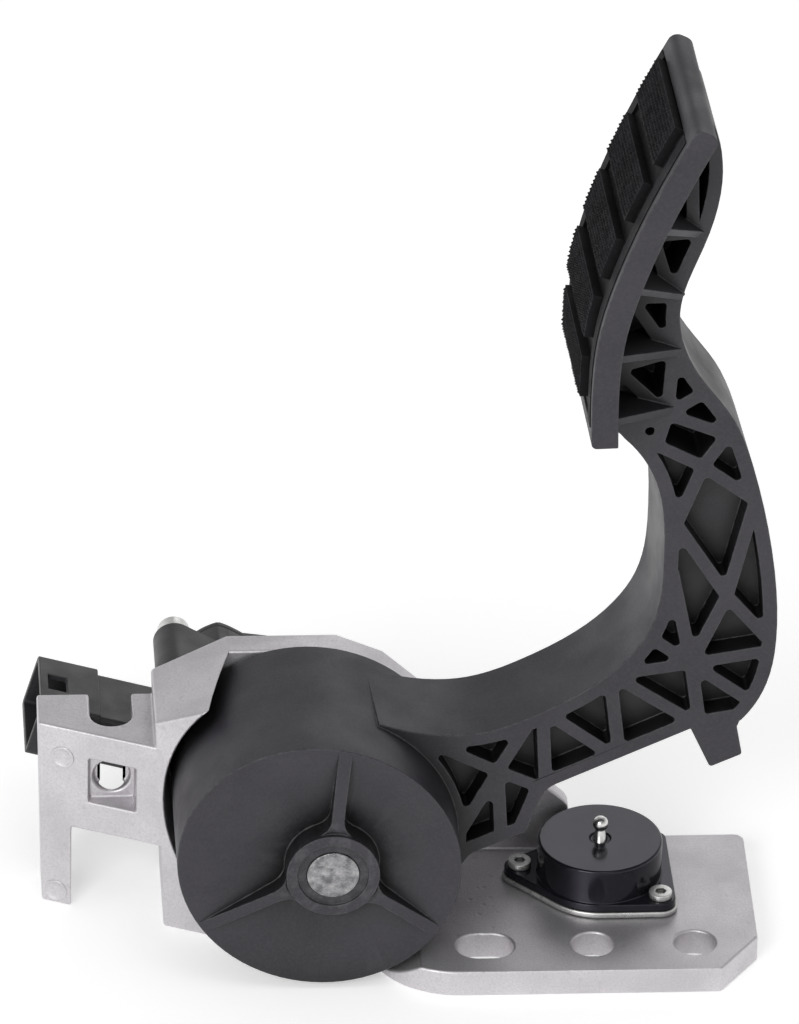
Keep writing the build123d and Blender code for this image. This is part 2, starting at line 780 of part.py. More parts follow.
def kick_housing():
    """Glossy moulded cap with its flange, hollow inside."""
    low = base_thickness + kick_plate_thickness
    body = Pos(0, 0, low) * extrude(kick_outline(kick_plate_margin), amount=kick_flange_thickness)
    cap = post(*kick_center, kick_cap_radius, low, kick_top)
    cap = fillet(cap.edges().group_by(Axis.Z)[-1], kick_cap_edge)
    body += cap
    body -= post(*kick_center, kick_cap_radius - kick_wall, low, kick_top - kick_wall)
    body += post(*kick_center, guide_diameter / 2 + 2.0, kick_top - guide_length, kick_top - kick_wall + 0.5)
    body -= post(*kick_center, guide_diameter / 2, low, kick_top)
    for x, y in kick_screw_spots:
        body -= post(x, y, kick_screw_diameter / 2 + 0.2, low, low + kick_flange_thickness)
    return body


def kick_guide():
    """Steel bush in the cap that guides the plunger."""
    return post(*kick_center, guide_diameter / 2, kick_top - guide_length, kick_top) - post(
        *kick_center, plunger_diameter / 2 + running_clearance, kick_top - guide_length, kick_top
    )


def kick_plunger():
    """Ball-headed plunger with a collar under the cap."""
    tip = kick_top + plunger_proud
    radius = plunger_head_diameter / 2
    head = Pos(kick_center[0], kick_center[1], tip - radius) * Sphere(radius)
    collar_top = kick_top - guide_length - 0.1
    collar_low = collar_top - plunger_collar[1]
    stem_low = base_thickness + kick_plate_thickness + plunger_travel + 0.3
    stem = post(*kick_center, plunger_diameter / 2, stem_low, tip - radius)
    collar = post(*kick_center, plunger_collar[0] / 2, collar_low, collar_top)
    return stem + collar + head


def kick_spring():
    """Spring between the base plate and the plunger's collar."""
    low = base_thickness + kick_plate_thickness + 0.1 + kick_spring_wire / 2
    high = kick_top - guide_length - 0.1 - plunger_collar[1] - 0.1 - kick_spring_wire / 2
    path = Helix(pitch=(high - low) / kick_spring_turns, height=high - low, radius=kick_spring_radius)
    section = Plane(origin=path @ 0, z_dir=path % 0) * Circle(kick_spring_wire / 2)
    return Pos(kick_center[0], kick_center[1], low) * sweep(section, path=path, is_frenet=True)


def kick_screws():
    """Socket-head screws of the kickdown unit."""
    low = base_thickness + kick_plate_thickness + kick_flange_thickness
    screws = []
    for x, y in kick_screw_spots:
        head = post(x, y, kick_screw_head[0] / 2, low, low + kick_screw_head[1])
        head = fillet(head.edges().group_by(Axis.Z)[-1], 0.5)
        shank = post(x, y, kick_screw_diameter / 2, base_thickness - kick_screw_grip, low)
        key = Pos(x, y, low + kick_screw_head[1] - 2.0) * extrude(RegularPolygon(kick_screw_hex / sqrt(3), 6), amount=2.0)
        screws.append(head + shank - key)
    return Compound(children=screws)


nodes = {
    "bracket": bracket,
    "pedal_arm": pedal_arm,
    "rubber_tread": rubber_tread,
    "pivot_shaft": pivot_shaft,
    "front_bush": lambda: bush(bearing_boss_end),
    "rear_bush": lambda: bush(wall_thickness - bush_length),
    "thrust_washer": thrust_washer,
    "shaft_circlip": circlip,
    "outer_return_spring": lambda: torsion_spring(outer_spring_radius, outer_spring_wire, outer_spring_turns),
    "inner_return_spring": lambda: torsion_spring(inner_spring_radius, inner_spring_wire, inner_spring_turns),
    "stop_pin": stop_pin,
    "stop_sleeve": stop_sleeve,
    "sensor_housing": sensor_housing,
    "sensor_cover": sensor_cover,
    "sensor_seal": sensor_seal,
    "sensor_rotor": sensor_rotor,
    "rotor_magnet": rotor_magnet,
    "sensor_board": sensor_board,
    "connector_pins": connector_pins,
    "sensor_screws": sensor_screws,
    "kickdown_plate": kick_plate,
    "kickdown_housing": kick_housing,
    "kickdown_guide": kick_guide,
    "kickdown_plunger": kick_plunger,
    "kickdown_spring": kick_spring,
    "kickdown_screws": kick_screws,
}

os.makedirs("parts", exist_ok=True)
for name, build in nodes.items():
    export_step(build(), f"parts/{name}.step")
    print("written", name)
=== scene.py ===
import json
import math

import bmesh
import bpy
from mathutils import Matrix, Vector
from mathutils.bvhtree import BVHTree


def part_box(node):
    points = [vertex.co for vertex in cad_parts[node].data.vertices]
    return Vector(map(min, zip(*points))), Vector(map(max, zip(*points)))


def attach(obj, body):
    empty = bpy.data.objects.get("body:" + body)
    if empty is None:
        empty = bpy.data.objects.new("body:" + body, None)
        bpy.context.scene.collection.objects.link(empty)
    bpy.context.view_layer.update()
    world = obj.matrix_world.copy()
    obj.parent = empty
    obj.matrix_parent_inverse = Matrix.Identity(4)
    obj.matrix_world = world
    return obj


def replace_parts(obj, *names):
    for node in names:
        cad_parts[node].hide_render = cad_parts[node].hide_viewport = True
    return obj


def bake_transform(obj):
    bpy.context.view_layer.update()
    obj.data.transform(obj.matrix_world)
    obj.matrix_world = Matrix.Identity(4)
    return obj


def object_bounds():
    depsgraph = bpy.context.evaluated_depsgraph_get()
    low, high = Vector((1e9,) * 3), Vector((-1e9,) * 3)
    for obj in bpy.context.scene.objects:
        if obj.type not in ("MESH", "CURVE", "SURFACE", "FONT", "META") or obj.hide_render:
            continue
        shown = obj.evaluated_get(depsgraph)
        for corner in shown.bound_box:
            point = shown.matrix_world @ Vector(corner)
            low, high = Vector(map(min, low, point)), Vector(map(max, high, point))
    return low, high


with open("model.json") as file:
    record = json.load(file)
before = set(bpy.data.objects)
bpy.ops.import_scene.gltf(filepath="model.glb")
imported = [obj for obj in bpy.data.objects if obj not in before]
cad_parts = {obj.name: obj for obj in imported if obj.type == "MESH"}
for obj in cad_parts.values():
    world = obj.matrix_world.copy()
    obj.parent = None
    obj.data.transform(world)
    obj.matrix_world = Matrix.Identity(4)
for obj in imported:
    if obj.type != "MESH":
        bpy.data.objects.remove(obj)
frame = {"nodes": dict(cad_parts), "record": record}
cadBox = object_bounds()
nodes = frame["nodes"]
bodyOf = {}
for bodyName, members in frame["record"]["behaviour"]["bodies"].items():
    for member in members:
        bodyOf[member] = bodyName
print("frame loaded:", len(nodes), "nodes")

# Camera where the photograph was taken from, with a long lens
cameraSet = {
    "elevation": 32.0,
    "azimuth": -3.93,
    "roll": 1.304,
    "place": (-0.184831, -2.998218, 2.008991),
    "focalPixels": 12000.0,
    "pictureSize": (799, 1024),
    "sensorWidth": 36.0,
    "farClip": 20.0,
}


def makeCamera():
    elevation = math.radians(cameraSet["elevation"])
    azimuth = math.radians(cameraSet["azimuth"])
    roll = math.radians(cameraSet["roll"])
    back = Vector((
        math.sin(azimuth) * math.cos(elevation),
        -math.cos(azimuth) * math.cos(elevation),
        math.sin(elevation),
    ))
    level = (-back).cross(Vector((0, 0, 1))).normalized()
    upright = level.cross(-back)
    right = level * math.cos(roll) + upright * math.sin(roll)
    up = upright * math.cos(roll) - level * math.sin(roll)
    data = bpy.data.cameras.new("camera")
    data.sensor_fit = "HORIZONTAL"
    data.sensor_width = cameraSet["sensorWidth"]
    data.lens = cameraSet["focalPixels"] / cameraSet["pictureSize"][0] * cameraSet["sensorWidth"]
    data.clip_end = cameraSet["farClip"]
    camera = bpy.data.objects.new("camera", data)
    turn = Matrix((right, up, back)).transposed().to_4x4()
    camera.matrix_world = Matrix.Translation(cameraSet["place"]) @ turn
    bpy.context.scene.collection.objects.link(camera)
    bpy.context.scene.camera = camera


makeCamera()
print("camera placed")


# Small helpers for node trees
def put(tree, kind, inputs=None, **settings):
    node = tree.nodes.new(kind)
    for key, value in settings.items():
        setattr(node, key, value)
    for key, value in (inputs or {}).items():
        if isinstance(value, bpy.types.NodeSocket):
            tree.links.new(value, node.inputs[key])
        else:
            node.inputs[key].default_value = value
    return node


def noise(tree, place, scale, detail=2.0, roughness=0.5):
    inputs = {"Vector": place, "Scale": scale, "Detail": detail, "Roughness": roughness}
    return put(tree, "ShaderNodeTexNoise", inputs).outputs[0]


def span(tree, value, low, high, toLow=0.0, toHigh=1.0):
    inputs = {"Value": value, "From Min": low, "From Max": high, "To Min": toLow, "To Max": toHigh}
    return put(tree, "ShaderNodeMapRange", inputs).outputs[0]


def sums(tree, operation, first, second):
    return put(tree, "ShaderNodeMath", {0: first, 1: second}, operation=operation).outputs[0]


def blendColour(tree, factor, first, second):
    return put(tree, "ShaderNodeMix", {0: factor, 6: first, 7: second}, data_type="RGBA").outputs[2]


def rgba(colour):
    return (*colour, 1.0)


# Floor, walls of light and lamps
studio = {
    "floorSize": 6.0,
    "floorColour": (0.86, 0.86, 0.86),
    "floorGlow": 0.42,
    "floorRoughness": 0.95,
    "floorSpecular": 0.1,
    "floorDrop": 0.0002,
    "worldLight": 0.5,
    "horizonWhite": 1.0,
    "overheadGrey": 0.36,
    "skyBand": (0.1, 0.6),
    "aim": (0.02, 0.0, 0.12),
}
lampSet = {
    "front softbox": {"place": (-1.1, -2.2, 1.5), "power": 29.0, "size": 1.2},
    "top softbox": {"place": (0.25, -0.75, 1.7), "power": 2.2, "size": 0.6},
    "back softbox": {"place": (0.30, 1.00, 0.68), "power": 0.75, "size": 0.5},
}


def areaLight(name, values):
    data = bpy.data.lights.new(name, "AREA")
    data.energy = values["power"]
    data.size = values["size"]
    lamp = bpy.data.objects.new(name, data)
    lamp.location = values["place"]
    aim = Vector(studio["aim"]) - lamp.location
    lamp.rotation_euler = aim.to_track_quat("-Z", "Y").to_euler()
    bpy.context.scene.collection.objects.link(lamp)


def seenDirectly(tree):
    path = put(tree, "ShaderNodeLightPath")
    shiny = sums(tree, "MAXIMUM", path.outputs["Is Camera Ray"], path.outputs["Is Glossy Ray"])
    return sums(tree, "MAXIMUM", shiny, path.outputs["Is Transmission Ray"])


def makeFloor():
    half = studio["floorSize"] / 2
    mesh = bpy.data.meshes.new("floor")
    corners = [(-half, -half, 0), (half, -half, 0), (half, half, 0), (-half, half, 0)]
    mesh.from_pydata(corners, [], [(0, 1, 2, 3)])
    floor = bpy.data.objects.new("floor", mesh)
    floor.location.z = cadBox[0][2] - studio["floorDrop"]
    bpy.context.scene.collection.objects.link(floor)
    paper = bpy.data.materials.new("white paper")
    paper.use_nodes = True
    tree = paper.node_tree
    shader = tree.nodes["Principled BSDF"]
    shader.inputs["Base Color"].default_value = rgba(studio["floorColour"])
    shader.inputs["Roughness"].default_value = studio["floorRoughness"]
    shader.inputs["Specular IOR Level"].default_value = studio["floorSpecular"]
    glow = put(tree, "ShaderNodeEmission", {
        "Color": (1, 1, 1, 1),
        "Strength": sums(tree, "MULTIPLY", seenDirectly(tree), studio["floorGlow"]),
    })
    both = put(tree, "ShaderNodeAddShader", {0: shader.outputs[0], 1: glow.outputs[0]})
    tree.links.new(both.outputs[0], tree.nodes["Material Output"].inputs[0])
    mesh.materials.append(paper)


def makeWorld():
    world = bpy.data.worlds.new("studio")
    world.use_nodes = True
    bpy.context.scene.world = world
    tree = world.node_tree
    soft = tree.nodes["Background"]
    soft.inputs["Color"].default_value = (1, 1, 1, 1)
    soft.inputs["Strength"].default_value = studio["worldLight"]
    direction = put(tree, "ShaderNodeTexCoord").outputs["Generated"]
    height = put(tree, "ShaderNodeSeparateXYZ", {0: direction}).outputs["Z"]
    level = span(tree, height, *studio["skyBand"], studio["horizonWhite"], studio["overheadGrey"])
    seen = put(tree, "ShaderNodeBackground", {"Color": (1, 1, 1, 1), "Strength": level})
    mix = put(tree, "ShaderNodeMixShader", {0: seenDirectly(tree), 1: soft.outputs[0], 2: seen.outputs[0]})
    tree.links.new(mix.outputs[0], tree.nodes["World Output"].inputs[0])


makeFloor()
makeWorld()
for lampName, lampValues in lampSet.items():
    areaLight(lampName, lampValues)
bpy.context.scene.view_settings.view_transform = "Standard"
print("studio set")


# Surface detail shared by the finishes
wearSet = {
    "samples": 4, "turned": (0.995, 0.9), "scale": 420.0, "detail": 3.0, "roughness": 0.65,
    "broken": (0.42, 0.6),
}
scratchSet = {
    "stretch": (38.0, 38.0, 1500.0), "middle": 0.5, "width": 0.014, "depth": 0.5,
    "patchScale": 60.0, "patchDetail": 3.0, "patches": (0.54, 0.66),
    "turns": ((0.0, 0.7, 0.0), (0.0, -0.35, 0.3)),
}
pitSet = {"patchShare": 6.0, "patches": (0.5, 0.64), "tone": 0.5}
finishSet = {
    "blotchDetail": (4.0, 0.6), "blotches": (0.36, 0.64), "grainDetail": (3.0, 0.6), "grains": (0.4, 0.75),
    "sheenShare": 2.6, "sheenDetail": 3.0, "sheen": (0.35, 0.65),
    "scuffScale": 300.0, "scuffDetail": (4.0, 0.7), "scuffs": (0.46, 0.66), "scuffFade": 0.7,
    # samples of the ambient occlusion that paints shade into recesses
    "paintedShadeSamples": 6,
}


def edgeWear(tree, place, radius, amount):
    soft = put(tree, "ShaderNodeBevel", {"Radius": radius}, samples=wearSet["samples"])
    plain = put(tree, "ShaderNodeNewGeometry")
    inputs = {0: soft.outputs[0], 1: plain.outputs["Normal"]}
    alike = put(tree, "ShaderNodeVectorMath", inputs, operation="DOT_PRODUCT").outputs["Value"]
    edge = span(tree, alike, *wearSet["turned"])  # 1 where the two normals part
    rubbed = noise(tree, place, wearSet["scale"], wearSet["detail"], wearSet["roughness"])
    broken = span(tree, rubbed, *wearSet["broken"], 0.0, amount)
    return sums(tree, "MULTIPLY", edge, broken)


def scratches(tree, place, turn, amount):
    inputs = {"Vector": place, "Rotation": turn, "Scale": scratchSet["stretch"]}
    along = put(tree, "ShaderNodeMapping", inputs).outputs[0]
    lines = noise(tree, along, 1.0)
    offset = sums(tree, "SUBTRACT", lines, scratchSet["middle"])
    distance = put(tree, "ShaderNodeMath", {0: offset}, operation="ABSOLUTE").outputs[0]
    thin = span(tree, distance, 0.0, scratchSet["width"], 1.0, 0.0)
    worn = noise(tree, place, scratchSet["patchScale"], scratchSet["patchDetail"])
    patch = span(tree, worn, *scratchSet["patches"], 0.0, amount)
    return sums(tree, "MULTIPLY", thin, patch)


def pits(tree, place, scale, share):
    cells = put(tree, "ShaderNodeTexVoronoi", {"Vector": place, "Scale": scale}).outputs["Distance"]
    gate = span(tree, noise(tree, place, scale / pitSet["patchShare"]), *pitSet["patches"])
    return sums(tree, "MULTIPLY", span(tree, cells, 0.0, share, 1.0, 0.0), gate)


def makeFinish(name, values):
    material = bpy.data.materials.new(name)
    material.use_nodes = True
    tree = material.node_tree
    shader = tree.nodes["Principled BSDF"]
    place = put(tree, "ShaderNodeTexCoord").outputs["Object"]
    blotch = noise(tree, place, values["blotchScale"], *finishSet["blotchDetail"])
    light = span(tree, blotch, *finishSet["blotches"])
    colour = blendColour(tree, light, rgba(values["dark"]), rgba(values["light"]))
    grain = noise(tree, place, values["grainScale"], *finishSet["grainDetail"])
    specks = span(tree, grain, *finishSet["grains"], 0.0, values["grainTone"])
    colour = blendColour(tree, specks, colour, rgba(values["speck"]))
    sheen = noise(tree, place, values["blotchScale"] * finishSet["sheenShare"], finishSet["sheenDetail"])
    rough = span(tree, sheen, *finishSet["sheen"], *values["roughness"])
    height = grain
    if "pitScale" in values:
        dents = pits(tree, place, values["pitScale"], values["pitSize"])
        stain = sums(tree, "MULTIPLY", dents, pitSet["tone"])
        colour = blendColour(tree, stain, colour, rgba(values["pitColour"]))
        height = sums(tree, "SUBTRACT", height, sums(tree, "MULTIPLY", dents, values["pitDepth"]))
    if "scratchColour" in values:
        sets = [scratches(tree, place, turn, values["scratchAmount"]) for turn in scratchSet["turns"]]
        lines = sums(tree, "MAXIMUM", *sets)
        colour = blendColour(tree, lines, colour, rgba(values["scratchColour"]))
        height = sums(tree, "SUBTRACT", height, sums(tree, "MULTIPLY", lines, scratchSet["depth"]))
    if "scuffPlace" in values:
        inputs = {"Vector": place, "Location": values["scuffPlace"], "Scale": (1.0, 0.0, 1.0)}
        near = put(tree, "ShaderNodeMapping", inputs).outputs[0]
        reach = put(tree, "ShaderNodeVectorMath", {0: near}, operation="LENGTH").outputs["Value"]
        zone = span(tree, reach, values["scuffReach"], values["scuffReach"] * finishSet["scuffFade"])
        marks = noise(tree, place, finishSet["scuffScale"], *finishSet["scuffDetail"])
        rubbed = span(tree, marks, *finishSet["scuffs"], 0.0, values["scuffAmount"])
        colour = blendColour(tree, sums(tree, "MULTIPLY", zone, rubbed), colour, rgba(values["scuffColour"]))
    # Painted shade: the colour is darkened towards black where ambient occlusion finds recesses, pockets and
    # creases
    if "paintedShadeTone" in values:
        inputs = {"Distance": values["paintedShadeReach"]}
        samples = finishSet["paintedShadeSamples"]
        openness = put(tree, "ShaderNodeAmbientOcclusion", inputs, samples=samples).outputs["AO"]
        shade = span(tree, openness, *values["paintedShadeSpan"], values["paintedShadeTone"], 1.0)
        colour = blendColour(tree, shade, rgba((0.0, 0.0, 0.0)), colour)
    if "wearColour" in values:
        worn = edgeWear(tree, place, values["wearRadius"], values["wearAmount"])
        colour = blendColour(tree, worn, colour, rgba(values["wearColour"]))
    bump = put(tree, "ShaderNodeBump", {"Height": height, "Distance": values["grainDepth"], "Strength": 1.0})
    tree.links.new(colour, shader.inputs["Base Color"])
    tree.links.new(rough, shader.inputs["Roughness"])
    tree.links.new(bump.outputs[0], shader.inputs["Normal"])
    shader.inputs["Metallic"].default_value = values["metallic"]
    shader.inputs["Specular IOR Level"].default_value = values.get("specular", 0.5)
    shader.inputs["Specular Tint"].default_value = rgba(values.get("tint", (1.0, 1.0, 1.0)))
    shader.inputs["Coat Weight"].default_value = values.get("coat", 0.0)
    shader.inputs["Coat Roughness"].default_value = values.get("coatRoughness", 0.05)
    return material


castAluminium = {
    "dark": (0.60, 0.58, 0.605), "light": (0.70, 0.68, 0.70), "speck": (0.46, 0.445, 0.47),
    "grainTone": 0.55, "blotchScale": 42.0, "grainScale": 1500.0, "grainDepth": 0.00007,
    "roughness": (0.44, 0.48), "metallic": 0.85,
    "pitScale": 210.0, "pitSize": 0.22, "pitDepth": 2.2, "pitColour": (0.40, 0.39, 0.41),
    "wearColour": (0.80, 0.79, 0.80), "wearRadius": 0.0009, "wearAmount": 0.5,
}
armPlastic = {
    "dark": (0.021, 0.0188, 0.0245), "light": (0.031, 0.028, 0.0355), "speck": (0.06, 0.056, 0.066),
    "grainTone": 0.4, "blotchScale": 26.0, "grainScale": 1300.0, "grainDepth": 0.000035,
    "roughness": (0.42, 0.56), "metallic": 0.0,
    "scratchColour": (0.085, 0.08, 0.09), "scratchAmount": 0.22,
    "scuffPlace": (0.0, 0.0, -0.0412), "scuffReach": 0.022, "scuffAmount": 0.45,
    "scuffColour": (0.12, 0.115, 0.125),
    # recess values: painted shade, darkening the lattice pockets and webs
    "paintedShadeTone": 0.06, "paintedShadeReach": 0.02, "paintedShadeSpan": (0.42, 0.94),
    "wearColour": (0.12, 0.115, 0.125), "wearRadius": 0.0007, "wearAmount": 0.6,
}
treadRubber = {
    "dark": (0.007, 0.0066, 0.0078), "light": (0.014, 0.013, 0.0155), "speck": (0.035, 0.033, 0.038),
    "grainTone": 0.45, "blotchScale": 70.0, "grainScale": 1600.0, "grainDepth": 0.00004,
    "roughness": (0.6, 0.75), "metallic": 0.0, "specular": 0.15,
    # recess values: painted shade in the hollows between the tread's blocks and studs
    "paintedShadeTone": 0.1, "paintedShadeReach": 0.006, "paintedShadeSpan": (0.4, 0.92),
    "wearColour": (0.05, 0.048, 0.053), "wearRadius": 0.0004, "wearAmount": 0.6,
}
housingPlastic = {
    "dark": (0.018, 0.017, 0.019), "light": (0.03, 0.028, 0.032), "speck": (0.05, 0.048, 0.052),
    "grainTone": 0.4, "blotchScale": 40.0, "grainScale": 1200.0, "grainDepth": 0.00003,
    "roughness": (0.38, 0.5), "metallic": 0.0,
    "wearColour": (0.10, 0.098, 0.105), "wearRadius": 0.0006, "wearAmount": 0.4,
}
glossPlastic = {
    "dark": (0.0048, 0.0046, 0.006), "light": (0.0085, 0.0081, 0.0105), "speck": (0.019, 0.018, 0.022),
    "grainTone": 0.25, "blotchScale": 55.0, "grainScale": 900.0, "grainDepth": 0.000004,
    "roughness": (0.14, 0.22), "metallic": 0.0, "specular": 0.36, "coat": 0.15, "coatRoughness": 0.04,
    "tint": (0.82, 0.79, 1.0),
    "scratchColour": (0.03, 0.03, 0.034), "scratchAmount": 0.2,
}
shaftSteel = {
    "dark": (0.15, 0.15, 0.16), "light": (0.46, 0.45, 0.46), "speck": (0.16, 0.15, 0.15),
    "grainTone": 0.6, "blotchScale": 330.0, "grainScale": 2000.0, "grainDepth": 0.00003,
    "roughness": (0.26, 0.42), "metallic": 0.9,
    "scratchColour": (0.72, 0.71, 0.72), "scratchAmount": 0.7,
}
zincPlate = {
    "dark": (0.62, 0.62, 0.61), "light": (0.78, 0.78, 0.76), "speck": (0.48, 0.48, 0.47),
    "grainTone": 0.4, "blotchScale": 150.0, "grainScale": 1800.0, "grainDepth": 0.00002,
    "roughness": (0.26, 0.4), "metallic": 0.75,
    # recess values: painted shade in the screw sockets and along the flange's foot
    "paintedShadeTone": 0.12, "paintedShadeReach": 0.003, "paintedShadeSpan": (0.4, 0.9),
}
polishedSteel = {
    "dark": (0.66, 0.65, 0.64), "light": (0.76, 0.75, 0.74), "speck": (0.55, 0.54, 0.53),
    "grainTone": 0.3, "blotchScale": 200.0, "grainScale": 2500.0, "grainDepth": 0.000006,
    "roughness": (0.24, 0.32), "metallic": 1.0,
}
springSteel = {
    "dark": (0.10, 0.10, 0.105), "light": (0.18, 0.175, 0.175), "speck": (0.26, 0.24, 0.22),
    "grainTone": 0.5, "blotchScale": 120.0, "grainScale": 1500.0, "grainDepth": 0.00003,
    "roughness": (0.35, 0.5), "metallic": 0.9,
}
bearingBronze = {
    "dark": (0.45, 0.31, 0.17), "light": (0.58, 0.41, 0.23), "speck": (0.32, 0.22, 0.13),
    "grainTone": 0.5, "blotchScale": 180.0, "grainScale": 1700.0, "grainDepth": 0.00002,
    "roughness": (0.3, 0.45), "metallic": 1.0,
}
boardGreen = {
    "dark": (0.010, 0.055, 0.028), "light": (0.016, 0.085, 0.04), "speck": (0.12, 0.12, 0.06),
    "grainTone": 0.35, "blotchScale": 160.0, "grainScale": 700.0, "grainDepth": 0.00002,
    "roughness": (0.3, 0.4), "metallic": 0.0, "coat": 0.4,
}
finishes = {
    "cast aluminium": castAluminium, "arm plastic": armPlastic, "tread rubber": treadRubber,
    "housing plastic": housingPlastic, "gloss plastic": glossPlastic, "shaft steel": shaftSteel,
    "zinc plate": zincPlate, "polished steel": polishedSteel, "spring steel": springSteel,
    "bearing bronze": bearingBronze, "board green": boardGreen,
}
made = {name: makeFinish(name, values) for name, values in finishes.items()}
print("finishes made:", len(made))

# The finish of each node, and how far its edges are rounded, in metres, where it gets a finished copy
pieceSet = {
    "bracket": ("cast aluminium", 0.0008, 3),
    "pedal_arm": ("arm plastic", 0.0003, 2),
    "rubber_tread": ("tread rubber", 0.0004, 3),
    "pivot_shaft": ("shaft steel", 0.0004, 2),
    "sensor_housing": ("housing plastic", 0.0003, 2),
    "sensor_cover": ("housing plastic", 0.0005, 2),
    "sensor_screws": ("zinc plate", 0.0003, 2),
    "connector_pins": ("zinc plate", 0.0001, 1),
    "kickdown_plate": ("zinc plate", 0.0005, 3),
    "kickdown_housing": ("gloss plastic", 0.0004, 3),
    "kickdown_screws": ("zinc plate", 0.0002, 2),
    "front_bush": ("bearing bronze", 0, 0),
    "rear_bush": ("bearing bronze", 0, 0),
    "thrust_washer": ("bearing bronze", 0, 0),
    "shaft_circlip": ("spring steel", 0, 0),
    "stop_pin": ("shaft steel", 0, 0),
    "sensor_rotor": ("housing plastic", 0, 0),
    "rotor_magnet": ("zinc plate", 0, 0),
    "sensor_board": ("board green", 0, 0),
}
copySet = {
    "mergeDistance": 0.00004, "fineMerge": 0.000003, "flatAngle": 0.6, "edgeAngle": 32.0, "faceWeight": 60,
    "fine": ("kickdown_housing", "kickdown_plate", "sensor_housing", "sensor_cover", "bracket"),
    "clamped": ("rubber_tread",),
}


def linkPiece(name, mesh, node, finish, bend=None):
    piece = bpy.data.objects.new(name, mesh)
    bpy.context.scene.collection.objects.link(piece)
    mesh.materials.clear()
    mesh.materials.append(made[finish])
    if bend:
        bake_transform(piece)
    else:
        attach(piece, bodyOf[node])
    return piece


def plainMesh(maker, name):
    settled = maker.evaluated_get(bpy.context.evaluated_depsgraph_get())
    mesh = bpy.data.meshes.new_from_object(settled)
    mesh.name = name
    bpy.data.objects.remove(maker)
    return mesh


# The photograph shows a few forms a little differently from the solids, so their copies are reshaped
padEnds = {
    "top": (0.284, 1.0, 0.0030), "bottom": (0.183, 0.189, 0.0016),  # from, to and rounding
    "width": 0.0555, "sharp": 1.0, "segments": 6, "profile": 0.5,
}


def roundPadEnds(work):
    for low, high, width in (padEnds["top"], padEnds["bottom"]):
        chosen = []
        for edge in work.edges:
            first, second = edge.verts[0].co, edge.verts[1].co
            wide = abs(first.y - second.y) > padEnds["width"]
            inside = low < first.z < high and low < second.z < high
            if wide and inside and edge.calc_face_angle(0) > padEnds["sharp"]:
                chosen.append(edge)
        bmesh.ops.bevel(
            work, geom=chosen, offset=width, segments=padEnds["segments"], profile=padEnds["profile"],
            affect="EDGES", clamp_overlap=True,
        )


treadStretch = {"near": -0.04445, "share": 1.04, "lean": -0.08}
padShear = {"near": -0.055, "slope": 0.03, "full": 0.012, "none": 0.020, "from": 0.180}
faceLine = {"from": 0.184, "within": 0.00002, "facing": -0.5}


# Corners of the pad's face on its near side, from heel to toe
def padFaceLine():
    work = bmesh.new()
    work.from_mesh(nodes["pedal_arm"].data)
    bmesh.ops.remove_doubles(work, verts=work.verts, dist=copySet["mergeDistance"])
    spots = set()
    for edge in work.edges:
        onNear = all(abs(vert.co.y - padShear["near"]) < faceLine["within"] for vert in edge.verts)
        high = all(vert.co.z > faceLine["from"] for vert in edge.verts)
        if onNear and high and any(face.normal.x < faceLine["facing"] for face in edge.link_faces):
            spots.update(vert.co.copy().freeze() for vert in edge.verts)
    work.free()
    return sorted(spots, key=lambda spot: spot.z)


padFace = padFaceLine()


# Where that line stands at a height
def faceAt(height):
    for first, second in zip(padFace, padFace[1:]):
        if height <= second.z:
            share = (height - first.z) / (second.z - first.z)
            return first.x + (second.x - first.x) * share
    return padFace[-1].x


def shearPad(verts):
    for vert in verts:
        if vert.co.z > padShear["from"]:
            over = vert.co.y - padShear["near"]
            behind = vert.co.x - faceAt(vert.co.z) - treadStretch["lean"] * over
            weight = (padShear["none"] - behind) / (padShear["none"] - padShear["full"])
            vert.co.x += padShear["slope"] * over * min(1.0, max(0.0, weight))


def shapeArm(work):
    roundPadEnds(work)
    shearPad(work.verts)


def shapeTread(work):
    for vert in work.verts:
        shift = (vert.co.y - treadStretch["near"]) * (treadStretch["share"] - 1)
        vert.co += Vector((treadStretch["lean"] * shift, shift, 0))
    shearPad(work.verts)


earPocket = {
    "floor": -0.0122, "newFloor": -0.0102, "within": 0.00005,
    "right": -0.055, "middle": 0.0462, "reach": 0.0078,
}


def deepenEarPocket(work):
    for vert in work.verts:
        onFloor = abs(vert.co.y - earPocket["floor"]) < earPocket["within"]
        level = abs(vert.co.z - earPocket["middle"]) < earPocket["reach"]
        if onFloor and level and vert.co.x < earPocket["right"]:
            vert.co.y = earPocket["newFloor"]


sensorTop = {"left": -0.030, "blend": 0.012, "level": 0.0560, "share": 0.35, "near": 0.0295}


def lowerSensorTop(work):
    for vert in work.verts:
        over = vert.co.z - sensorTop["level"]
        if over > 0 and vert.co.y > sensorTop["near"]:
            blend = min(1.0, max(0.0, (vert.co.x - sensorTop["left"]) / sensorTop["blend"]))
            vert.co.z -= over * (1 - sensorTop["share"]) * blend


screwHeads = {"level": 0.0131, "share": 0.55}


def lowerScrewHeads(work):
    for vert in work.verts:
        over = vert.co.z - screwHeads["level"]
        if over > 0:
            vert.co.z -= over * (1 - screwHeads["share"])


reshape = {
    "pedal_arm": shapeArm, "rubber_tread": shapeTread, "bracket": deepenEarPocket,
    "sensor_housing": lowerSensorTop, "sensor_cover": lowerSensorTop, "kickdown_screws": lowerScrewHeads,
}


def mergedMesh(name):
    mesh = nodes[name].data.copy()
    work = bmesh.new()
    work.from_mesh(mesh)
    reach = copySet["fineMerge"] if name in copySet["fine"] else copySet["mergeDistance"]
    bmesh.ops.remove_doubles(work, verts=work.verts, dist=reach)
    flat = math.radians(copySet["flatAngle"])
    bmesh.ops.dissolve_limit(work, angle_limit=flat, verts=work.verts, edges=work.edges)
    if name in reshape:
        reshape[name](work)
    for face in work.faces:
        face.smooth = True
    work.to_mesh(mesh)
    work.free()
    return mesh


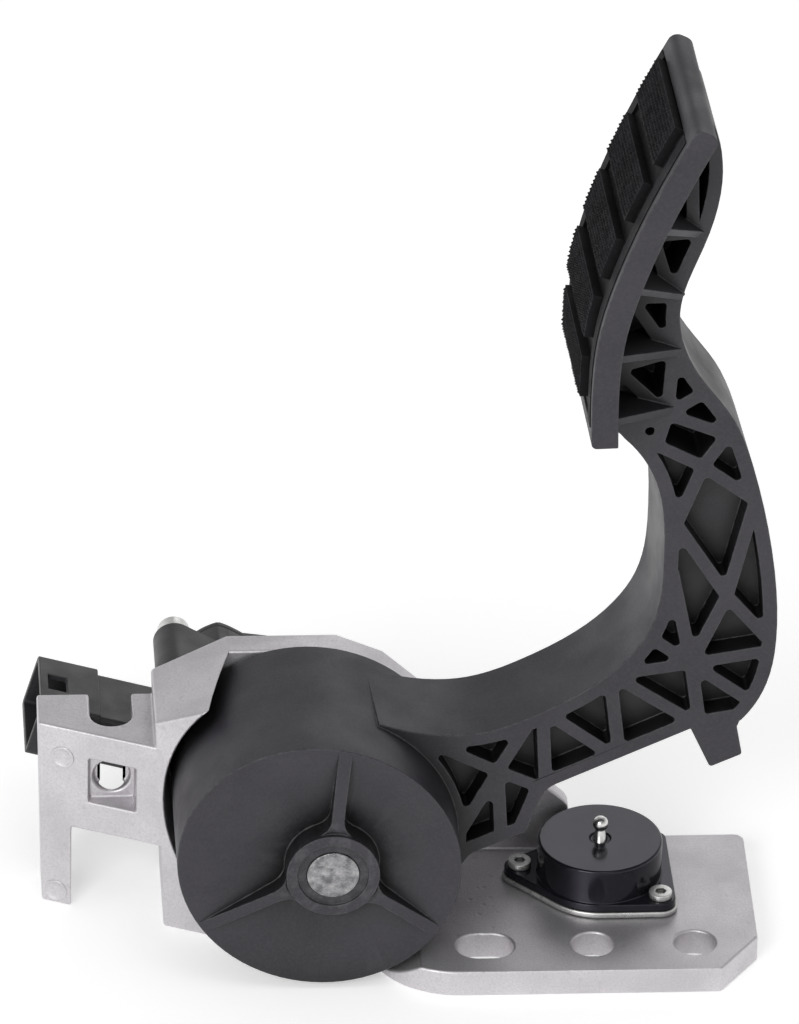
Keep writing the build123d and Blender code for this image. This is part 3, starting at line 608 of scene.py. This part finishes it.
# Corners that the rounding threw farther out than its own width go back onto the solid
def keepToSurface(mesh, name, width):
    work = bmesh.new()
    work.from_mesh(mergedMesh(name))
    surface = BVHTree.FromBMesh(work)
    work.free()
    moved = 0
    for vert in mesh.vertices:
        nearest, normal, index, distance = surface.find_nearest(vert.co)
        if distance > width:
            vert.co = nearest
            moved += 1
    print(name, "edges rounded,", moved, "corners kept to the surface")


def finishedCopy(name, finish, width, segments):
    maker = bpy.data.objects.new(name + "_maker", mergedMesh(name))
    bpy.context.scene.collection.objects.link(maker)
    rounder = maker.modifiers.new("round edges", "BEVEL")
    rounder.width = width
    rounder.segments = segments
    rounder.limit_method = "ANGLE"
    rounder.angle_limit = math.radians(copySet["edgeAngle"])
    rounder.use_clamp_overlap = name in copySet["clamped"]
    evener = maker.modifiers.new("even shading", "WEIGHTED_NORMAL")
    evener.weight = copySet["faceWeight"]
    mesh = plainMesh(maker, name + "_finished")
    keepToSurface(mesh, name, width)
    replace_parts(linkPiece(name + "_finished", mesh, name, finish), name)


for name, (finish, width, segments) in pieceSet.items():
    if width:
        finishedCopy(name, finish, width, segments)
    else:
        nodes[name].data.materials.clear()
        nodes[name].data.materials.append(made[finish])
print("castings, mouldings and turned pieces finished")


# A closed mesh from its points, with its faces turned outwards
def closedMesh(name, points, faces, smooth):
    mesh = bpy.data.meshes.new(name)
    mesh.from_pydata(points, [], faces)
    work = bmesh.new()
    work.from_mesh(mesh)
    bmesh.ops.recalc_face_normals(work, faces=work.faces)
    for face in work.faces:
        face.smooth = smooth and len(face.verts) == 4
    work.to_mesh(mesh)
    work.free()
    return mesh


# Turned pieces, across the pedal about (x, z) or upright about (x, y)
def turnedMesh(name, profile, center, steps, upright=False):
    count = len(profile)
    points, faces = [], []
    for step in range(steps):
        angle = 2 * math.pi * step / steps
        for radius, along in profile:
            first = center[0] + radius * math.cos(angle)
            second = center[1] + radius * math.sin(angle)
            points.append((first, second, along) if upright else (first, along, second))
    for step in range(steps):
        after = (step + 1) % steps
        for index in range(count):
            follow = (index + 1) % count
            faces.append((
                step * count + index, step * count + follow,
                after * count + follow, after * count + index,
            ))
    return closedMesh(name, points, faces, True)


def roundProfile(radius, depth, section, sides):
    turns = [2 * math.pi * side / sides for side in range(sides)]
    return [(radius + section * math.cos(turn), depth + section * math.sin(turn)) for turn in turns]


def tubeProfile(inner, outer, near, far, corner, sides=4):
    corners = [
        (outer, near, 1, -1, -90), (outer, far, 1, 1, 0),
        (inner, far, -1, 1, 90), (inner, near, -1, -1, 180),
    ]
    points = []
    for radius, depth, outward, rearward, start in corners:
        middle = (radius - outward * corner, depth - rearward * corner)
        for side in range(sides + 1):
            turn = math.radians(start + 90 * side / sides)
            points.append((middle[0] + corner * math.cos(turn), middle[1] + corner * math.sin(turn)))
    return points


sealRing = {
    "radius": 0.0205, "section": 0.00088, "middle": 0.00995, "center": (0.0, 0.0412),
    "sides": 20, "steps": 120,
}
stopSleeve = {
    "inner": 0.0015, "outer": 0.0023, "near": -0.0087, "far": -0.0001, "corner": 0.0003, "steps": 48,
}


def makeSeal():
    profile = roundProfile(sealRing["radius"], sealRing["middle"], sealRing["section"], sealRing["sides"])
    mesh = turnedMesh("sensor_seal_ring", profile, sealRing["center"], sealRing["steps"])
    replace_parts(linkPiece("sensor_seal_ring", mesh, "sensor_seal", "tread rubber"), "sensor_seal")


def makeStopSleeve():
    low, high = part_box("stop_sleeve")
    center = ((low[0] + high[0]) / 2, (low[2] + high[2]) / 2)
    profile = tubeProfile(*(stopSleeve[key] for key in ("inner", "outer", "near", "far", "corner")))
    mesh = turnedMesh("stop_sleeve_rubber", profile, center, stopSleeve["steps"])
    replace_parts(linkPiece("stop_sleeve_rubber", mesh, "stop_sleeve", "tread rubber"), "stop_sleeve")


# The ball-headed plunger and its dark guide, upright in the cap
plungerSet = {
    "stem": 0.00165, "head": 0.00235, "tip": 0.0320, "neck": 0.0003, "neckRise": 0.0006, "axis": 0.00001,
    "collar": 0.0045, "collarDepth": 0.0016, "collarGap": 0.0001, "corner": 0.0002,
    "steps": 40, "ballSteps": 16,
}
guideSet = {
    "inner": 0.0018, "drop": 0.0006, "gap": 0.00003, "outerSlope": (0.0005, 0.0003), "innerCorner": 0.0004,
}


def makePlunger():
    low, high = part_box("kickdown_plunger")
    center = ((low[0] + high[0]) / 2, (low[1] + high[1]) / 2)
    guideLow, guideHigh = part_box("kickdown_guide")
    stem, head, neck = plungerSet["stem"], plungerSet["head"], plungerSet["neck"]
    collar, corner, axis = plungerSet["collar"], plungerSet["corner"], plungerSet["axis"]
    middle = plungerSet["tip"] - head
    start = math.asin((stem - neck) / head)
    ball = []
    for index in range(plungerSet["ballSteps"] + 1):
        turn = -math.pi / 2 + start + (math.pi - start) * index / plungerSet["ballSteps"]
        ball.append((max(axis, head * math.cos(turn)), middle + head * math.sin(turn)))
    collarTop = guideLow[2] - plungerSet["collarGap"]
    collarFoot = collarTop - plungerSet["collarDepth"]
    profile = [
        (axis, low[2]), (stem - corner, low[2]), (stem, low[2] + corner),
        (stem, collarFoot), (collar - corner, collarFoot), (collar, collarFoot + corner),
        (collar, collarTop - corner), (collar - corner, collarTop), (stem, collarTop),
        (stem, ball[0][1] - plungerSet["neckRise"]), (stem - neck, ball[0][1] - corner),
    ] + ball
    mesh = turnedMesh("kickdown_plunger_turned", profile, center, plungerSet["steps"], True)
    piece = linkPiece("kickdown_plunger_turned", mesh, "kickdown_plunger", "polished steel")
    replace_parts(piece, "kickdown_plunger")
    outer = (guideHigh[0] - guideLow[0]) / 2 - guideSet["gap"]
    inner = guideSet["inner"]
    top = guideHigh[2] - guideSet["drop"]
    inward, upward = guideSet["outerSlope"]
    ring = [
        (outer, guideLow[2]), (outer, top), (outer - inward, top + upward),
        (inner + guideSet["innerCorner"], top), (inner, top - guideSet["innerCorner"]), (inner, guideLow[2]),
    ]
    mesh = turnedMesh("kickdown_guide_turned", ring, center, plungerSet["steps"], True)
    piece = linkPiece("kickdown_guide_turned", mesh, "kickdown_guide", "gloss plastic")
    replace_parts(piece, "kickdown_guide")


makeSeal()
makeStopSleeve()
makePlunger()
print("rings and plunger turned")


# Geometry Nodes: a tree with named inputs, and its result as a plain mesh
def startTree(name, inputs):
    tree = bpy.data.node_groups.new(name, "GeometryNodeTree")
    tree.interface.new_socket("Geometry", in_out="OUTPUT", socket_type="NodeSocketGeometry")
    tree.interface.new_socket("Geometry", in_out="INPUT", socket_type="NodeSocketGeometry")
    for label, kind in inputs:
        tree.interface.new_socket(label, in_out="INPUT", socket_type=kind)
    return tree, tree.nodes.new("NodeGroupInput")


def endTree(tree, geometry):
    realize = put(tree, "GeometryNodeRealizeInstances", {0: geometry})
    smooth = put(tree, "GeometryNodeSetShadeSmooth", {0: realize.outputs[0]})
    paint = put(tree, "GeometryNodeSetMaterial", {0: smooth.outputs[0]})
    out = tree.nodes.new("NodeGroupOutput")
    tree.links.new(paint.outputs[0], out.inputs[0])
    return smooth, paint


def runTree(tree, start, values, name):
    maker = bpy.data.objects.new(name + "_maker", start)
    bpy.context.scene.collection.objects.link(maker)
    modifier = maker.modifiers.new("maker", "NODES")
    modifier.node_group = tree
    for item in tree.interface.items_tree:
        if item.item_type == "SOCKET" and item.in_out == "INPUT" and item.name in values:
            modifier[item.identifier] = values[item.name]
    return plainMesh(maker, name)


coilSet = {
    "outer_return_spring": {"Radius": 0.0286, "Wire": 0.0020, "Turns": 5.0, "Length": 0.0414},
    "inner_return_spring": {"Radius": 0.0194, "Wire": 0.0016, "Turns": 6.0, "Length": 0.0422},
    "kickdown_spring": {"Radius": 0.0032, "Wire": 0.00045, "Turns": 4.0, "Length": 0.0066},
}
coilPlace = {"pivotHeight": 0.0412, "outer": -0.0023, "inner": -0.0019, "turnSteps": 40, "wireSteps": 14}


def coilTree():
    tree, given = startTree("wound spring", [
        ("Radius", "NodeSocketFloat"), ("Wire", "NodeSocketFloat"), ("Turns", "NodeSocketFloat"),
        ("Length", "NodeSocketFloat"),
    ])
    spiral = put(tree, "GeometryNodeCurveSpiral", {
        "Resolution": coilPlace["turnSteps"], "Rotations": given.outputs["Turns"],
        "Start Radius": given.outputs["Radius"], "End Radius": given.outputs["Radius"],
        "Height": given.outputs["Length"],
    })
    wire = put(tree, "GeometryNodeCurvePrimitiveCircle", {
        "Resolution": coilPlace["wireSteps"], "Radius": given.outputs["Wire"],
    })
    coil = put(tree, "GeometryNodeCurveToMesh", {
        "Curve": spiral.outputs[0], "Profile Curve": wire.outputs[0], "Fill Caps": True,
    })
    paint = endTree(tree, coil.outputs[0])[1]
    paint.inputs["Material"].default_value = made["spring steel"]
    return tree


def makeSprings():
    tree = coilTree()
    low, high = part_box("kickdown_spring")
    center = ((low[0] + high[0]) / 2, (low[1] + high[1]) / 2)
    foot = low[2] + coilSet["kickdown_spring"]["Wire"]
    coilSet["kickdown_spring"]["Length"] = high[2] - low[2] - 2 * coilSet["kickdown_spring"]["Wire"]
    across = Matrix.Rotation(math.radians(90), 4, "X")
    pivotHeight = coilPlace["pivotHeight"]
    places = {
        "outer_return_spring": Matrix.Translation((0, coilPlace["outer"], pivotHeight)) @ across,
        "inner_return_spring": Matrix.Translation((0, coilPlace["inner"], pivotHeight)) @ across,
        "kickdown_spring": Matrix.Translation((*center, foot)),
    }
    for name, values in coilSet.items():
        mesh = runTree(tree, bpy.data.meshes.new("start"), values, name + "_wound")
        mesh.transform(places[name])
        squeezed = ("mount", "plunger", (*center, low[2]), (*center, high[2]))
        bend = squeezed if name == "kickdown_spring" else None
        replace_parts(linkPiece(name + "_wound", mesh, name, "spring steel", bend), name)


makeSprings()
print("springs wound")

# Fine pyramids moulded on the tread's blocks
studSet = {
    "pitch": 0.00145, "edge": 0.0010, "Size": 0.00085, "Rise": 0.00085, "Seed": 7,
    "sides": 4, "tip": 0.00015, "sunk": -0.0001, "least": (0.92, 0.92, 0.7), "most": (1.06, 1.06, 1.1),
}
blockSet = {"height": 0.016, "bend": 0.4, "facing": -0.5, "within": 0.00002}


def blockTops():
    work = bmesh.new()
    work.from_mesh(nodes["rubber_tread"].data)
    bmesh.ops.remove_doubles(work, verts=work.verts, dist=copySet["mergeDistance"])
    shapeTread(work)
    seen = set()
    tops = []
    for first in work.faces:
        if first in seen:
            continue
        seen.add(first)
        group, queue = [], [first]
        while queue:
            face = queue.pop()
            group.append(face)
            for edge in face.edges:
                if len(edge.link_faces) == 2 and edge.calc_face_angle() < blockSet["bend"]:
                    fresh = [other for other in edge.link_faces if other not in seen]
                    seen.update(fresh)
                    queue.extend(fresh)
        spots = {vert.co.copy().freeze() for face in group for vert in face.verts}
        heights = [spot.z for spot in spots]
        facing = sum((face.normal * face.calc_area() for face in group), Vector()).normalized()
        if facing.x < blockSet["facing"] and max(heights) - min(heights) < blockSet["height"]:
            tops.append(spots)
    work.free()
    return tops


def edgeLine(spots, depth):
    onLine = [spot for spot in spots if abs(spot.y - depth) < blockSet["within"]]
    return sorted(onLine, key=lambda spot: spot.z)


def alongLine(line, share):
    runs = [(after - before).length for before, after in zip(line, line[1:])]
    left = share * sum(runs)
    for index, run in enumerate(runs):
        if left <= run or index == len(runs) - 1:
            return line[index].lerp(line[index + 1], min(1.0, left / run))
        left -= run


def studCarrier():
    points, faces = [], []
    for spots in blockTops():
        near = edgeLine(spots, min(spot.y for spot in spots))
        far = edgeLine(spots, max(spot.y for spot in spots))
        height = (near[-1] - near[0]).length
        across = (far[0] - near[0]).length
        rows = int((height - 2 * studSet["edge"]) / studSet["pitch"])
        columns = int((across - 2 * studSet["edge"]) / studSet["pitch"])
        base = len(points)
        for row in range(rows + 1):
            share = (studSet["edge"] + (height - 2 * studSet["edge"]) * row / rows) / height
            first, last = alongLine(near, share), alongLine(far, share)
            for column in range(columns + 1):
                over = (studSet["edge"] + (across - 2 * studSet["edge"]) * column / columns) / across
                points.append(first.lerp(last, over))
        wide = columns + 1
        for row in range(rows):
            for column in range(columns):
                corner = base + row * wide + column
                faces.append((corner, corner + wide, corner + wide + 1, corner + 1))
    mesh = bpy.data.meshes.new("stud places")
    mesh.from_pydata(points, [], faces)
    if sum(face.normal.x for face in mesh.polygons) > 0:
        mesh.flip_normals()
    return mesh


def studTree():
    tree, given = startTree("moulded studs", [
        ("Size", "NodeSocketFloat"), ("Rise", "NodeSocketFloat"), ("Seed", "NodeSocketInt"),
    ])
    stud = put(tree, "GeometryNodeMeshCone", {
        "Vertices": studSet["sides"], "Radius Top": studSet["tip"],
        "Radius Bottom": given.outputs["Size"], "Depth": given.outputs["Rise"],
    })
    sunk = put(tree, "GeometryNodeTransform", {
        "Geometry": stud.outputs[0], "Translation": (0.0, 0.0, studSet["sunk"]),
    })
    outward = put(tree, "GeometryNodeInputNormal").outputs[0]
    facing = put(tree, "FunctionNodeAlignRotationToVector", {"Vector": outward})
    vary = put(tree, "FunctionNodeRandomValue", {
        "Min": studSet["least"], "Max": studSet["most"], "Seed": given.outputs["Seed"],
    }, data_type="FLOAT_VECTOR")
    spread = put(tree, "GeometryNodeInstanceOnPoints", {
        "Points": given.outputs["Geometry"], "Instance": sunk.outputs[0],
        "Rotation": facing.outputs[0], "Scale": vary.outputs[0],
    })
    smooth, paint = endTree(tree, spread.outputs[0])
    smooth.inputs["Shade Smooth"].default_value = False
    paint.inputs["Material"].default_value = made["tread rubber"]
    return tree


def makeStuds():
    values = {key: studSet[key] for key in ("Size", "Rise", "Seed")}
    mesh = runTree(studTree(), studCarrier(), values, "tread_studs")
    linkPiece("tread_studs", mesh, "rubber_tread", "tread rubber")
    print("tread studs moulded:", len(mesh.polygons), "faces")


makeStuds()

# Rubber margin of the tread on the pad's face, down both sides
marginSet = {
    "low": 0.1920, "high": 0.2868,
    "nearStart": -0.0526, "nearEnd": -0.0479, "farStart": -0.0034, "farEnd": 0.0010,
    "rise": 0.0003, "sunk": 0.0009, "steps": 40,
}


def makeMargins():
    low, steps = marginSet["low"], marginSet["steps"]
    heights = [low + (marginSet["high"] - low) * index / steps for index in range(steps + 1)]
    line = [Vector((faceAt(height), padShear["near"], height)) for height in heights]
    lean = treadStretch["lean"] + padShear["slope"]
    rise, sunk = marginSet["rise"], -marginSet["sunk"]
    points, faces = [], []
    for start, end in (("nearStart", "nearEnd"), ("farStart", "farEnd")):
        base = len(points)
        for index, spot in enumerate(line):
            ahead = line[min(index + 1, len(line) - 1)] - line[max(index - 1, 0)]
            outward = Vector((-ahead.z, 0, ahead.x)).normalized()
            for height, side in ((sunk, start), (rise, start), (rise, end), (sunk, end)):
                depth = marginSet[side]
                across = Vector((lean * (depth - spot.y), depth - spot.y, 0))
                points.append(spot + across + outward * height)
        for index in range(len(line) - 1):
            for corner in range(4):
                after = (corner + 1) % 4
                here = base + index * 4
                faces.append((here + corner, here + after, here + 4 + after, here + 4 + corner))
        faces.append([base + corner for corner in range(4)])
        faces.append([base + (len(line) - 1) * 4 + corner for corner in range(4)])
    mesh = closedMesh("tread_margins", points, faces, False)
    linkPiece("tread_margins", mesh, "rubber_tread", "tread rubber")
    print("tread margins follow", len(line), "corners")


makeMargins()

# Round marks that the ejector pins left on the casting
markSet = {
    "faceYaw": 23.0, "faceOffset": -0.04283, "radius": 0.0036, "proud": 0.0003, "sunk": 0.0004, "steps": 48,
    "spots": [(-0.0783, 0.0526), (-0.0802, 0.0045)],
    "rings": [(1.0, 0.5), (0.96, 1.0), (0.86, 1.0), (0.8, 0.3), (0.3, 0.2)],  # shares of radius and proud
}


def makeMarks():
    yaw = math.radians(markSet["faceYaw"])
    outward = Vector((-math.sin(yaw), -math.cos(yaw), 0))
    side = Vector((math.cos(yaw), -math.sin(yaw), 0))
    radius, proud = markSet["radius"], markSet["proud"]
    rings = [(radius, -markSet["sunk"])]
    rings += [(radius * wide, proud * high) for wide, high in markSet["rings"]]
    points, faces = [], []
    for x, z in markSet["spots"]:
        middle = Vector((x, markSet["faceOffset"] - math.tan(yaw) * x, z))
        base = len(points)
        steps = markSet["steps"]
        for reach, height in rings:
            for step in range(steps):
                turn = 2 * math.pi * step / steps
                spot = middle + side * (reach * math.cos(turn)) + Vector((0, 0, reach * math.sin(turn)))
                points.append(spot + outward * height)
        for ring in range(len(rings) - 1):
            for step in range(steps):
                after = (step + 1) % steps
                low = base + ring * steps
                faces.append((low + step, low + after, low + steps + after, low + steps + step))
        faces.append([base + step for step in range(steps)])
        faces.append([base + (len(rings) - 1) * steps + step for step in range(steps)])
    mesh = closedMesh("ejector_marks", points, faces, True)
    linkPiece("ejector_marks", mesh, "bracket", "cast aluminium")


makeMarks()
print("casting marks made")
